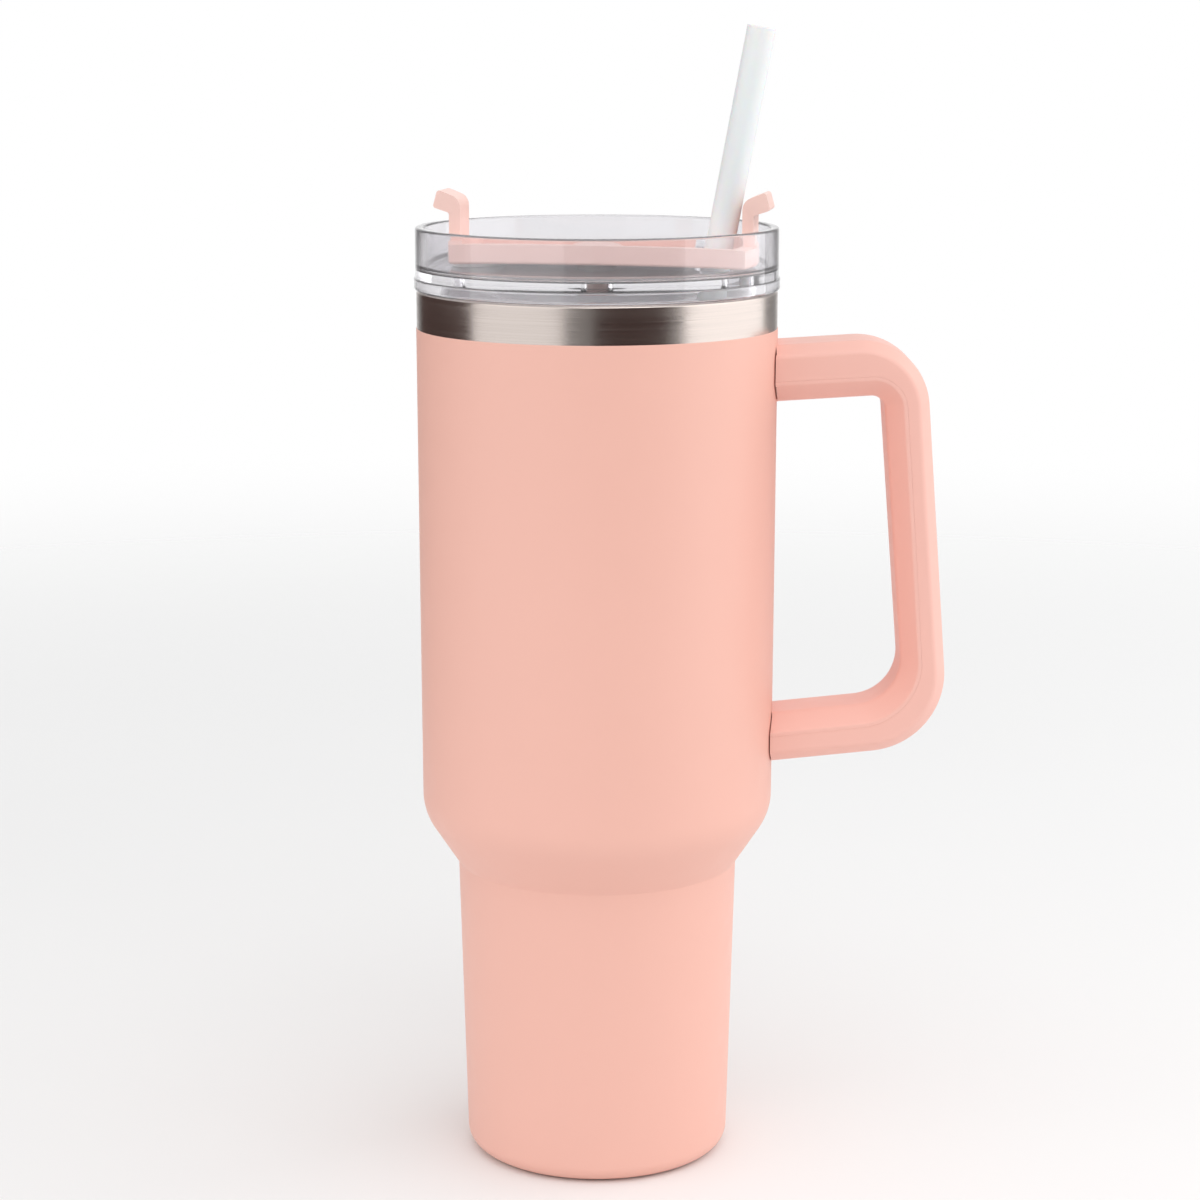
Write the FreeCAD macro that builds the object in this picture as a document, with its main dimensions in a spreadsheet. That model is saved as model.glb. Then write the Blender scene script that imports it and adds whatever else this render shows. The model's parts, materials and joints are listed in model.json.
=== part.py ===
import FreeCAD, Part
import math
import os
import re
import Sketcher

"""Insulated straw tumbler: a double-walled steel cup with a side handle, and a clear lid
with a turning cover and a straw. Millimetres, +Z up, origin at the centre of the base."""

V = FreeCAD.Vector

# Every driving dimension, with what it measures. All are millimetres, or degrees where the name
# ends in angle.
SIZES = [
    # The cup's outer wall, from the base up.
    ("base_radius", 36.9, "outer wall at the base, before its rounded edge"),
    ("base_fillet", 5.1, "rounded edge at the base"),
    ("foot_inset", 7.9, "from the base's edge to the inner edge of the folded foot"),
    ("waist_height", 84.0, "where the narrow lower wall meets the shoulder"),
    ("waist_radius", 39.15, "outer wall at the waist"),
    ("shoulder_angle", 33.5, "slope of the shoulder, from upright"),
    ("shoulder_fillet", 16.0, "rounded edge at the top of the shoulder"),
    ("upper_taper", 0.5, "how much narrower the upper wall is just above the shoulder"),
    ("mouth_radius", 49.5, "coated wall at the coat's top edge"),
    ("mouth_height", 244.6, "top of the steel lip"),
    ("bare_band", 10.3, "bare steel between the coat and the lip"),
    ("coat_step", 0.15, "thickness of the coat"),
    ("lip_fillet", 0.9, "rolled outer edge of the lip"),
    ("steel_wall", 0.5, "steel sheet of both walls"),
    ("vacuum_gap", 2.2, "space between the two walls"),
    ("liner_floor", 8.0, "top of the drink's floor"),
    ("liner_fillet", 6.0, "rounded inner edge of the floor"),
    # The plates and the seal under the cup.
    ("bottom_lap", 2.5, "how far the bottom plate lies over the folded foot"),
    ("dimple_radius", 4.0, "pressed dimple that holds the seal bead"),
    ("dimple_depth", 1.6, "depth of the dimple"),
    ("port_radius", 1.0, "evacuation port in the dimple"),
    ("disc_play", 0.15, "play round the base disc"),
    ("getter_radius", 6.0, "getter tablet"),
    ("getter_thick", 1.2, "getter tablet"),
    ("getter_offset", 18.0, "getter tablet from the axis"),
    # The handle, where its outer faces would meet in sharp corners.
    ("handle_drop", 14.4, "top face of the upper arm below the mouth, at the cup"),
    ("handle_top_rise", 2.4, "how far the top face rises to its outer corner"),
    ("handle_top_reach", 39.8, "upper outer corner from the cup"),
    ("handle_foot", 29.9, "underside of the lower arm above the waist, at the cup"),
    ("handle_foot_rise", 4.9, "how far the underside rises to its outer corner"),
    ("handle_low_reach", 48.5, "lower outer corner from the cup"),
    ("top_arm", 15.7, "height of the upper arm"),
    ("low_arm", 13.6, "height of the lower arm"),
    ("grip_top", 11.0, "thickness of the grip at its top"),
    ("grip_low", 12.9, "thickness of the grip at its foot"),
    ("handle_depth", 24.0, "front to back"),
    ("top_round", 19.0, "upper outer corner"),
    ("low_round", 21.8, "lower outer corner"),
    ("finger_top_round", 3.5, "upper corner of the finger opening"),
    ("finger_low_round", 13.0, "lower corner of the finger opening"),
    ("outer_bevel", 3.0, "bevel of the outer edges, in the handle's plane"),
    ("outer_bevel_depth", 3.5, "the same bevel, front to back"),
    ("inner_cover_thick", 5.9, "strip that closes the handle on the finger side"),
    ("inner_bevel", 4.9, "bevel of the strip's edges, in the handle's plane"),
    ("inner_bevel_depth", 5.0, "the same bevel, front to back"),
    ("handle_wall", 2.2, "moulded wall of the handle"),
    ("handle_end", 3.0, "end wall of each arm"),
    ("handle_gap", 0.4, "joint between an arm and the cup"),
    # The welded brackets and their screws.
    ("bracket_width", 13.0, "bracket plate, front to back"),
    ("bracket_tall", 3.8, "bracket plate, upright"),
    ("bracket_thick", 1.6, "bracket plate, out from the wall"),
    ("boss_wall", 0.8, "wall of the threaded boss on the plate"),
    ("boss_length", 4.0, "boss beyond the plate"),
    ("screw_radius", 1.25, "screw thread"),
    ("screw_length", 5.0, "screw below its head"),
    ("screw_head_radius", 2.4, "screw head"),
    ("screw_head", 1.8, "height of the screw head"),
    ("fit_gap", 0.15, "clearance of the brackets in the handle"),
    # The lid. Its heights count from the mouth, and its radii from the cup's wall.
    ("rim_rise", 17.1, "top of the clear rim above the mouth"),
    ("rim_overhang", 0.1, "outside of the clear rim beyond the cup"),
    ("rim_wall", 2.5, "clear wall"),
    ("rim_round", 0.7, "rounded edges of the rim"),
    ("flange_overhang", 0.5, "flange beyond the cup"),
    ("flange_thick", 3.3, "flange that rests on the lip"),
    ("flange_round", 0.9, "rounded edge of the flange"),
    ("seat_gap", 0.1, "between the flange and the lip"),
    ("deck_rise", 5.4, "floor of the lid's bowl above the mouth"),
    ("deck_thick", 2.5, "floor of the lid's bowl"),
    ("deck_fillet", 2.0, "rounded corner of the bowl"),
    ("skirt_drop", 11.0, "skirt below the flange"),
    ("skirt_wall", 2.6, "skirt"),
    ("skirt_gap", 0.5, "between the skirt and the liner"),
    ("gasket_height", 4.0, "groove for the gasket"),
    ("gasket_sink", 1.3, "depth of that groove"),
    ("gasket_offset", 4.0, "gasket above the skirt's lower edge"),
    ("gasket_gap", 0.08, "between the gasket and the liner"),
    ("opening_play", 0.9, "round the straw in the drinking opening"),
    ("opening_length", 21.0, "drinking opening, round the deck"),
    ("opening_round", 4.0, "its corners"),
    ("vent_radius", 0.9, "vent hole"),
    ("vent_offset", 24.0, "vent hole from the axis"),
    # The turning cover.
    ("cover_angle", -9.5, "how far the cover, opening and straw stand round the axis"),
    ("cover_play", 4.6, "between the cover's ends and the clear wall"),
    ("cover_width", 30.0, "across the cover"),
    ("cover_lift", 1.2, "cover above the deck"),
    ("cover_height", 5.0, "tray of the cover"),
    ("cover_floor", 2.0, "floor of the tray"),
    ("cover_wall", 2.2, "side walls of the tray"),
    ("cover_round", 0.8, "outer edges of the tray and hooks"),
    ("arm_inset", 0.8, "outer face of each arm from the cover's end"),
    ("arm_thick", 3.0, "each arm"),
    ("arm_width", 12.4, "each arm, across"),
    ("hook_bend", 19.1, "inner bend of a hook above the deck"),
    ("hook_reach", 3.7, "tip of a hook beyond the cover's end"),
    ("hook_rise", 2.4, "how far the hook rises to its tip"),
    ("hook_thick", 4.8, "each hook, at its tip"),
    ("hook_neck", 3.85, "each hook, where it leaves its arm"),
    ("hook_lean", 1.3, "how far the top of a hook's tip stands back from its lower edge"),
    ("cover_shift", 1.8, "middle of the cover and its arms from the pivot, toward the straw"),
    ("hook_round", 3.4, "inner bend of a hook"),
    ("pivot_radius", 3.0, "pivot pin"),
    ("pivot_gap", 0.05, "running clearance of the cover on its pin"),
    ("pivot_shoulder", 4.0, "head of the pin beyond its side"),
    ("pivot_head", 1.6, "height of the pin's head"),
    ("head_gap", 0.1, "between the head and the cover's floor"),
    ("pivot_tail", 2.4, "pin below the deck"),
    ("retainer_wall", 2.5, "push-on retainer round the pin"),
    ("retainer_thick", 1.4, "push-on retainer"),
    ("ring_wall", 2.4, "sealing ring round the pin"),
    ("seal_gap", 0.1, "between a seal and the face that turns over it"),
    ("pad_margin", 1.6, "silicone pad beyond the opening that it closes"),
    ("pad_round", 5.0, "corners of the pad"),
    # The straw.
    ("straw_radius", 3.9, "outside of the straw"),
    ("straw_wall", 0.6, "wall of the straw"),
    ("straw_length", 305.5, "straw"),
    ("straw_angle", 10.5, "lean of the straw, outwards"),
    ("straw_inset", 8.0, "straw's line from the arm's inner face, at the deck's top"),
    ("straw_clearance", 0.6, "round the straw in the cover"),
    ("straw_floor_gap", 6.0, "between the straw's foot and the drink's floor"),
]
NAMES = {name for name, _, _ in SIZES}

doc = FreeCAD.newDocument("tumbler")
sheet = doc.addObject("Spreadsheet::Sheet", "Sizes")
for row, (name, size, meaning) in enumerate(SIZES, 1):
    sheet.set(f"A{row}", name)
    sheet.set(f"B{row}", str(size))
    sheet.set(f"C{row}", meaning)
    sheet.setAlias(f"B{row}", name)
doc.recompute()

# Sizes that follow from the driving ones, as expressions of the sheet's names.
FOOT_RADIUS = "(base_radius - foot_inset)"
SHOULDER_RADIUS = "(mouth_radius - upper_taper)"
MITRE = "tan(shoulder_angle * 0.5 deg)"
SHOULDER_HEIGHT = f"(waist_height + ({SHOULDER_RADIUS} - waist_radius) / tan(shoulder_angle * 1 deg))"
COAT_HEIGHT = "(mouth_height - bare_band)"
WALL_SLOPE = f"(upper_taper / ({COAT_HEIGHT} - {SHOULDER_HEIGHT}))"
BARE_RADIUS = "(mouth_radius - coat_step)"
SHELL_SHEET = "(coat_step + steel_wall)"
LINER_INSET = "(coat_step + steel_wall + vacuum_gap)"
LINER_SHEET = "(coat_step + steel_wall * 2 + vacuum_gap)"
LINER_MOUTH = f"(mouth_radius - {LINER_SHEET})"
RIM_HEIGHT = "(mouth_height + rim_rise)"
RIM_RADIUS = "(mouth_radius + rim_overhang)"
FLANGE_RADIUS = "(mouth_radius + flange_overhang)"
FLANGE_BOTTOM = "(mouth_height + seat_gap)"
DECK_TOP = "(mouth_height + deck_rise)"
DECK_BOTTOM = f"({DECK_TOP} - deck_thick)"
SKIRT_RADIUS = f"({LINER_MOUTH} - skirt_gap)"
SKIRT_BOTTOM = f"({FLANGE_BOTTOM} - skirt_drop)"
COVER_RADIUS = f"({RIM_RADIUS} - rim_wall - cover_play)"
COVER_BOTTOM = f"({DECK_TOP} + cover_lift)"
COVER_FLOOR_TOP = f"({COVER_BOTTOM} + cover_floor)"
ARM_OUTSIDE = f"({COVER_RADIUS} - arm_inset)"
ARM_INSIDE = f"({ARM_OUTSIDE} - arm_thick)"
HOOK_BEND = f"({DECK_TOP} + hook_bend)"
HOOK_TIP = f"({COVER_RADIUS} + hook_reach)"
STRAW_OFFSET = f"({ARM_INSIDE} + cover_shift - straw_inset)"
OPENING_WIDTH = "((straw_radius + opening_play) * 2)"
HANDLE_TOP = "(mouth_height - handle_drop)"
HANDLE_FOOT = "(waist_height + handle_foot)"
TOP_REACH = "(mouth_radius + handle_top_reach)"
LOW_REACH = "(mouth_radius + handle_low_reach)"
BOSS_RADIUS = "(screw_radius + boss_wall)"


def bound(expression):
    """The expression with every named size read from the sheet."""
    def with_sheet(word):
        return "Sizes." + word.group() if word.group() in NAMES else word.group()
    return re.sub(r"[a-z][a-z0-9_]*", with_sheet, expression)


def value(expression):
    return float(sheet.evalExpression(expression))


def origin_plane(body, role):
    return next(o for o in body.Origin.OriginFeatures if o.Role == role)


def new_body(label, turned=False):
    """An empty body. A turned one stands round the axis by the cover's angle."""
    body = doc.addObject("PartDesign::Body", label)
    body.Label = label
    if turned:
        body.Placement = FreeCAD.Placement(V(), FreeCAD.Rotation(V(0, 0, 1), value("cover_angle")))
        body.setExpression("Placement.Rotation.Angle", bound("cover_angle * 1 deg"))
    return body


def new_sketch(body, name, role="XZ_Plane", height=None):
    """A sketch on one of the body's origin planes, or at a height above it."""
    sketch = body.newObject("Sketcher::SketchObject", name)
    sketch.AttachmentSupport = [(origin_plane(body, role), "")]
    sketch.MapMode = "FlatFace"
    if height:
        sketch.setExpression("AttachmentOffset.Base.z", bound(height))
    return sketch


def fix_point(sketch, geometry, end, x, y):
    """Holds a point of the sketch at two expressions."""
    for kind, axis, expression in (("DistanceX", -2, x), ("DistanceY", -1, y)):
        if expression == "0":
            sketch.addConstraint(Sketcher.Constraint("PointOnObject", geometry, end, axis))
            continue
        index = sketch.addConstraint(Sketcher.Constraint(kind, -1, 1, geometry, end, value(expression)))
        sketch.setExpression(f"Constraints[{index}]", bound(expression))


def corner_arc(before, corner, after, radius):
    """Where an arc in a corner starts and ends, its centre, and whether it turns left."""
    back, ahead = (before - corner).normalize(), (after - corner).normalize()
    half = back.getAngle(ahead) / 2
    centre = corner + (back + ahead).normalize() * (radius / math.sin(half))
    reach = radius / math.tan(half)
    left = (corner - before).cross(after - corner).z > 0
    return corner + back * reach, corner + ahead * reach, centre, left


def outline(sketch, corners):
    """A closed outline. Each corner is (x, y) or (x, y, radius), as expressions of the sheet."""
    places = [V(value(c[0]), value(c[1]), 0) for c in corners]
    count = len(corners)
    starts, ends, arcs = list(places), list(places), {}
    for i, corner in enumerate(corners):
        if len(corner) == 3:
            arc = corner_arc(places[i - 1], places[i], places[(i + 1) % count], value(corner[2]))
            ends[i], starts[i], arcs[i] = arc[0], arc[1], arc
    lines = []
    for i in range(count):
        lines.append(sketch.addGeometry(Part.LineSegment(starts[i], ends[(i + 1) % count]), False))
    for i, corner in enumerate(corners):
        before, after = lines[i - 1], lines[i]
        if i not in arcs:
            sketch.addConstraint(Sketcher.Constraint("Coincident", before, 2, after, 1))
            fix_point(sketch, after, 1, corner[0], corner[1])
            continue
        first, last, centre, left = arcs[i]
        if not left:
            first, last = last, first
        angles = [math.atan2(p.y - centre.y, p.x - centre.x) for p in (first, last)]
        if angles[1] < angles[0]:
            angles[1] += 2 * math.pi
        circle = Part.Circle(centre, V(0, 0, 1), value(corner[2]))
        arc = sketch.addGeometry(Part.ArcOfCircle(circle, *angles), False)
        into, out = (1, 2) if left else (2, 1)
        sketch.addConstraint(Sketcher.Constraint("Tangent", before, 2, arc, into))
        sketch.addConstraint(Sketcher.Constraint("Tangent", arc, out, after, 1))
        index = sketch.addConstraint(Sketcher.Constraint("Radius", arc, value(corner[2])))
        sketch.setExpression(f"Constraints[{index}]", bound(corner[2]))
        point = sketch.addGeometry(Part.Point(places[i]), True)
        sketch.addConstraint(Sketcher.Constraint("PointOnObject", point, 1, before))
        sketch.addConstraint(Sketcher.Constraint("PointOnObject", point, 1, after))
        fix_point(sketch, point, 1, corner[0], corner[1])


def circle(sketch, radius, x="0", y="0"):
    ring = sketch.addGeometry(Part.Circle(V(value(x), value(y), 0), V(0, 0, 1), value(radius)), False)
    index = sketch.addConstraint(Sketcher.Constraint("Radius", ring, value(radius)))
    sketch.setExpression(f"Constraints[{index}]", bound(radius))
    fix_point(sketch, ring, 3, x, y)


def oblong(sketch, length_x, length_y, radius, x="0", y="0"):
    """A rectangle with rounded corners about a centre."""
    corners = []
    for side_x, side_y in ((-1, -1), (1, -1), (1, 1), (-1, 1)):
        corners.append((f"{x} + {side_x} * {length_x} / 2", f"{y} + {side_y} * {length_y} / 2", radius))
    outline(sketch, corners)


def feature(body, kind, name, sketch, **settings):
    made = body.newObject("PartDesign::" + kind, name)
    made.Profile = sketch
    for key, setting in settings.items():
        setattr(made, key, setting)
    return made


def revolved(label, corners, turned=False):
    """A body turned about the upright axis from one closed outline of (radius, height)."""
    body = new_body(label, turned)
    sketch = new_sketch(body, label + "_outline")
    outline(sketch, corners)
    feature(body, "Revolution", label + "_turned", sketch, ReferenceAxis=(sketch, ["V_Axis"]), Angle=360)
    return body


def padded(body, name, sketch, length, symmetric=False):
    pad = feature(body, "Pad", name, sketch)
    if symmetric:
        pad.SideType = "Symmetric"
    pad.setExpression("Length", bound(length))
    return pad


def pocketed(body, name, sketch, length):
    """A pocket cut to both sides of its sketch, which must take something away."""
    doc.recompute()
    volume = body.Shape.Volume
    pocket = feature(body, "Pocket", name, sketch, SideType="Symmetric")
    pocket.setExpression("Length", bound(length))
    doc.recompute()
    if body.Shape.Volume > volume - 0.1:
        raise RuntimeError(name + " cuts nothing")
    return pocket


def dress(body, kind, name, keeps, sizes):
    """A fillet or chamfer on every edge of the body that keeps() accepts."""
    doc.recompute()
    tip = body.Tip
    edges = [f"Edge{i}" for i, edge in enumerate(tip.Shape.Edges, 1) if keeps(edge)]
    if not edges:
        raise RuntimeError(name + " finds no edges")
    made = body.newObject("PartDesign::" + kind, name)
    made.Base = (tip, edges)
    if len(sizes) == 2:
        made.ChamferType = "Two distances"
        made.setExpression("Size", bound(sizes[0]))
        made.setExpression("Size2", bound(sizes[1]))
    else:
        made.setExpression("Radius" if kind == "Fillet" else "Size", bound(sizes[0]))
    return made


def primitive(kind, name, base=("0", "0", "0"), along=None, **lengths):
    """A Part primitive with every size and its place bound. along is the axis that it lies on."""
    made = doc.addObject("Part::" + kind, name)
    for key, expression in lengths.items():
        made.setExpression(key, bound(expression))
    if along:
        made.Placement = FreeCAD.Placement(V(), FreeCAD.Rotation(V(0, 0, 1), along))
    for axis, expression in zip("xyz", base):
        made.setExpression(f"Placement.Base.{axis}", bound(expression))
    return made


def joined(label, *pieces):
    made = doc.addObject("Part::MultiFuse", label)
    made.Shapes = list(pieces)
    made.Label = label
    return made


def cut(label, base, tool):
    made = doc.addObject("Part::Cut", label)
    made.Base = base
    made.Tool = tool
    made.Label = label
    return made


# ---------------------------------------------------------------- the double-walled cup

def make_outer_shell():
    """One drawn sheet: folded foot, narrow base, shoulder, upper wall, bare band and rolled lip."""
    inner_top = f"{BARE_RADIUS} - steel_wall"
    return revolved("outer_shell", [
        (FOOT_RADIUS, "0"),
        ("base_radius", "0", "base_fillet"),
        ("waist_radius", "waist_height"),
        (SHOULDER_RADIUS, SHOULDER_HEIGHT, "shoulder_fillet"),
        ("mouth_radius", COAT_HEIGHT),
        (BARE_RADIUS, COAT_HEIGHT),
        (BARE_RADIUS, "mouth_height", "lip_fillet"),
        (LINER_MOUTH + " + steel_wall", "mouth_height"),
        (LINER_MOUTH + " + steel_wall", "mouth_height - steel_wall"),
        (inner_top, "mouth_height - steel_wall", "lip_fillet - steel_wall"),
        (inner_top, COAT_HEIGHT),
        (f"{SHOULDER_RADIUS} - {SHELL_SHEET}", f"{SHOULDER_HEIGHT} + {SHELL_SHEET} * {MITRE}",
         f"shoulder_fillet - {SHELL_SHEET}"),
        (f"waist_radius - {SHELL_SHEET}", f"waist_height + {SHELL_SHEET} * {MITRE}"),
        (f"base_radius - {SHELL_SHEET}", "steel_wall", "base_fillet - steel_wall"),
        (FOOT_RADIUS, "steel_wall"),
    ])


def make_inner_liner():
    """The wall and floor that hold the drink, parallel to the outer shell."""
    outer, inner = LINER_INSET, LINER_SHEET
    floor_radius = f"base_radius - {inner}"
    return revolved("inner_liner", [
        ("0", "liner_floor - steel_wall"),
        (f"base_radius - {outer}", "liner_floor - steel_wall", "liner_fillet + steel_wall"),
        (f"waist_radius - {outer}", f"waist_height + {outer} * {MITRE}"),
        (f"{SHOULDER_RADIUS} - {outer}", f"{SHOULDER_HEIGHT} + {outer} * {MITRE}",
         f"shoulder_fillet - {outer}"),
        (LINER_MOUTH + " + steel_wall", COAT_HEIGHT),
        (LINER_MOUTH + " + steel_wall", "mouth_height"),
        (LINER_MOUTH, "mouth_height"),
        (LINER_MOUTH, COAT_HEIGHT),
        (f"{SHOULDER_RADIUS} - {inner}", f"{SHOULDER_HEIGHT} + {inner} * {MITRE}",
         f"shoulder_fillet - {inner}"),
        (f"waist_radius - {inner}", f"waist_height + {inner} * {MITRE}"),
        (floor_radius, "liner_floor", "liner_fillet"),
        ("0", "liner_floor"),
    ])


def make_bottom_plate():
    """Closes the outer wall. Its pressed dimple has the evacuation port in the middle."""
    top = "steel_wall * 2"
    return revolved("bottom_plate", [
        ("port_radius", "steel_wall + dimple_depth"),
        ("dimple_radius", "steel_wall + dimple_depth"),
        ("dimple_radius", "steel_wall"),
        (f"{FOOT_RADIUS} + bottom_lap", "steel_wall"),
        (f"{FOOT_RADIUS} + bottom_lap", top),
        ("dimple_radius + steel_wall", top),
        ("dimple_radius + steel_wall", f"{top} + dimple_depth"),
        ("port_radius", f"{top} + dimple_depth"),
    ])


def make_seal_bead():
    """The solder bead that stops the port. It fills the dimple and the port above it."""
    return revolved("vacuum_seal", [
        ("0", "steel_wall"),
        ("dimple_radius", "steel_wall"),
        ("dimple_radius", "steel_wall + dimple_depth"),
        ("port_radius", "steel_wall + dimple_depth"),
        ("port_radius", "steel_wall * 2 + dimple_depth"),
        ("0", "steel_wall * 2 + dimple_depth"),
    ])


def make_base_disc():
    """The disc that hides the seal and lies flush with the foot."""
    return revolved("base_disc", [
        ("0", "0"),
        (f"{FOOT_RADIUS} - disc_play", "0"),
        (f"{FOOT_RADIUS} - disc_play", "steel_wall"),
        ("0", "steel_wall"),
    ])


def make_getter():
    """The tablet in the vacuum space that takes up stray gas."""
    made = primitive("Cylinder", "getter", ("getter_offset", "0", "steel_wall * 2"),
                     Radius="getter_radius", Height="getter_thick")
    made.Label = "getter"
    return made


# ---------------------------------------------------------------- the handle

HANDLE_START = "(base_radius - steel_wall)"
FINGER_TOP_X = f"({TOP_REACH} - grip_top)"
FINGER_LOW_X = f"({LOW_REACH} - grip_low)"


def along_arm(height, rise, reach, x):
    """The height of a sloping arm face at x. The face rises from the cup's wall to its corner."""
    return f"({height} + {rise} * ({x} - mouth_radius) / ({reach} - mouth_radius))"


def handle_top_at(x, inset="0"):
    return along_arm(f"({HANDLE_TOP} - {inset})", "handle_top_rise", TOP_REACH, x)


def handle_foot_at(x, inset="0"):
    return along_arm(f"({HANDLE_FOOT} + {inset})", "handle_foot_rise", LOW_REACH, x)


def handle_outside(inset="0", start=HANDLE_START):
    """The three outer faces, moved inwards by inset, from the foot of the lower arm round."""
    inset = f"({inset})"
    low, top = f"({LOW_REACH} - {inset})", f"({TOP_REACH} - {inset})"
    return [
        (start, handle_foot_at(start, inset)),
        (low, handle_foot_at(low, inset), f"low_round - {inset}"),
        (top, handle_top_at(top, inset), f"top_round - {inset}"),
        (start, handle_top_at(start, inset)),
    ]


def handle_inside(outset="0", start=HANDLE_START):
    """The three faces of the finger opening, moved into the handle by outset, from the top down."""
    outset = f"({outset})"
    top, low = f"({FINGER_TOP_X} + {outset})", f"({FINGER_LOW_X} + {outset})"
    upper, lower = f"(top_arm - {outset})", f"(low_arm - {outset})"
    return [
        (start, handle_top_at(start, upper)),
        (top, handle_top_at(top, upper), f"finger_top_round + {outset}"),
        (low, handle_foot_at(low, lower), f"finger_low_round + {outset}"),
        (start, handle_foot_at(start, lower)),
    ]


def on_side_faces(edge):
    """Whether an edge lies wholly in the handle's front or back face."""
    depth = value("handle_depth") / 2
    return all(abs(abs(v.Y) - depth) < 1e-4 for v in edge.Vertexes) and (
        abs(edge.Vertexes[0].Y - edge.Vertexes[-1].Y) < 1e-4)


def near_outline(corners, edge):
    """Whether the middle of an edge is on the line through the corners, rounded or not."""
    places = [V(value(c[0]), 0, value(c[1])) for c in corners]
    middle = edge.valueAt((edge.FirstParameter + edge.LastParameter) / 2)
    middle.y = 0
    for i, (start, end) in enumerate(zip(places, places[1:])):
        if middle.distanceToLine(start, end - start) < 1e-3:
            return min(start.x, end.x) - 1e-3 < middle.x < max(start.x, end.x) + 1e-3
    for i, corner in enumerate(corners):
        if len(corner) == 3:
            first, last, centre, _ = corner_arc(
                *(V(places[j].x, places[j].z, 0) for j in (i - 1, i, i + 1)), value(corner[2]))
            if abs(V(middle.x, middle.z, 0).distanceToPoint(centre) - value(corner[2])) < 1e-3:
                return True
    return False


def wall_cone(name, joint):
    """The cup's upper wall as a solid cone grown by a joint, which shapes what meets the wall."""
    low = f"({HANDLE_FOOT} - low_arm)"
    high = f"({HANDLE_TOP} + top_arm)"
    radius = f"({SHOULDER_RADIUS} + {joint} + {WALL_SLOPE} * "
    return primitive("Cone", name, ("0", "0", low),
                     Radius1=f"{radius} ({low} - {SHOULDER_HEIGHT}))",
                     Radius2=f"{radius} ({high} - {SHOULDER_HEIGHT}))", Height=f"{high} - {low}")


def bracket_heights():
    """The middle of each bracket, which is that of its arm's hollow where the screw's head sits."""
    head = "(mouth_radius + bracket_thick + boss_length)"
    upper, lower = (f"({arm} - inner_cover_thick + handle_wall) / 2" for arm in ("top_arm", "low_arm"))
    return {"upper": handle_top_at(head, upper), "lower": handle_foot_at(head, lower)}


def bracket_space(which, height):
    """The room that a bracket takes in its arm's end wall."""
    plate = primitive("Box", which + "_plate_room",
                      (HANDLE_START, "-bracket_width / 2 - fit_gap", f"{height} - bracket_tall / 2 - fit_gap"),
                      Length=f"mouth_radius + bracket_thick + fit_gap - {HANDLE_START}",
                      Width="bracket_width + 2 * fit_gap", Height="bracket_tall + 2 * fit_gap")
    boss = primitive("Cylinder", which + "_boss_room", (HANDLE_START, "0", height), along=V(1, 0, 0),
                     Radius=f"{BOSS_RADIUS} + fit_gap",
                     Height=f"mouth_radius + handle_gap + handle_end * 2 - {HANDLE_START}")
    return joined(which + "_bracket_room", plate, boss)


def make_handle():
    """The hollow outer moulding and the strip that closes it on the finger side."""
    shell = new_body("handle_body")
    ring = new_sketch(shell, "handle_ring")
    outline(ring, handle_outside() + handle_inside("inner_cover_thick"))
    padded(shell, "handle_pad", ring, "handle_depth", symmetric=True)
    dress(shell, "Chamfer", "handle_bevel",
          lambda edge: on_side_faces(edge) and near_outline(handle_outside(), edge),
          ("outer_bevel", "outer_bevel_depth"))
    hollow = new_sketch(shell, "handle_hollow")
    inner_end = "(mouth_radius + handle_gap + handle_end)"
    outline(hollow, handle_outside("handle_wall", inner_end)
            + handle_inside("inner_cover_thick - handle_wall", inner_end))
    pocketed(shell, "handle_channel", hollow, "handle_depth - 2 * outer_bevel_depth")

    strip = new_body("strip_body")
    band = new_sketch(strip, "strip_ring")
    outline(band, handle_inside("inner_cover_thick")[::-1] + handle_inside())
    padded(strip, "strip_pad", band, "handle_depth", symmetric=True)
    dress(strip, "Chamfer", "strip_bevel",
          lambda edge: on_side_faces(edge) and near_outline(handle_inside(), edge),
          ("inner_bevel", "inner_bevel_depth"))

    rooms = [bracket_space(which, height) for which, height in bracket_heights().items()]
    cut("handle_shell", shell, joined("handle_trim", wall_cone("shell_wall", "handle_gap"), *rooms))
    cut("handle_inner_cover", strip, wall_cone("strip_wall", "handle_gap"))


def make_brackets():
    """A plate welded to the cup and its threaded boss, one for each arm."""
    for which, height in bracket_heights().items():
        plate = primitive("Box", which + "_plate",
                          (HANDLE_START, "-bracket_width / 2", f"{height} - bracket_tall / 2"),
                          Length=f"mouth_radius + bracket_thick - {HANDLE_START}",
                          Width="bracket_width", Height="bracket_tall")
        boss = primitive("Cylinder", which + "_boss", (HANDLE_START, "0", height), along=V(1, 0, 0),
                         Radius=BOSS_RADIUS,
                         Height=f"mouth_radius + bracket_thick + boss_length - {HANDLE_START}")
        solid = joined(which + "_bracket_solid", plate, boss)
        thread = primitive("Cylinder", which + "_thread",
                           ("mouth_radius + bracket_thick + boss_length - screw_length", "0", height),
                           along=V(1, 0, 0), Radius="screw_radius", Height="screw_length")
        wall = wall_cone(which + "_bracket_wall", "0")
        cut(which + "_handle_bracket", solid, joined(which + "_bracket_cuts", wall, thread))


def make_screws():
    for which, height in bracket_heights().items():
        face = "mouth_radius + bracket_thick + boss_length"
        shank = primitive("Cylinder", which + "_shank", (f"{face} - screw_length", "0", height),
                          along=V(1, 0, 0), Radius="screw_radius", Height="screw_length")
        head = primitive("Cylinder", which + "_head", (face, "0", height),
                         along=V(1, 0, 0), Radius="screw_head_radius", Height="screw_head")
        joined(which + "_handle_screw", shank, head)


# ---------------------------------------------------------------- the lid

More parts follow.
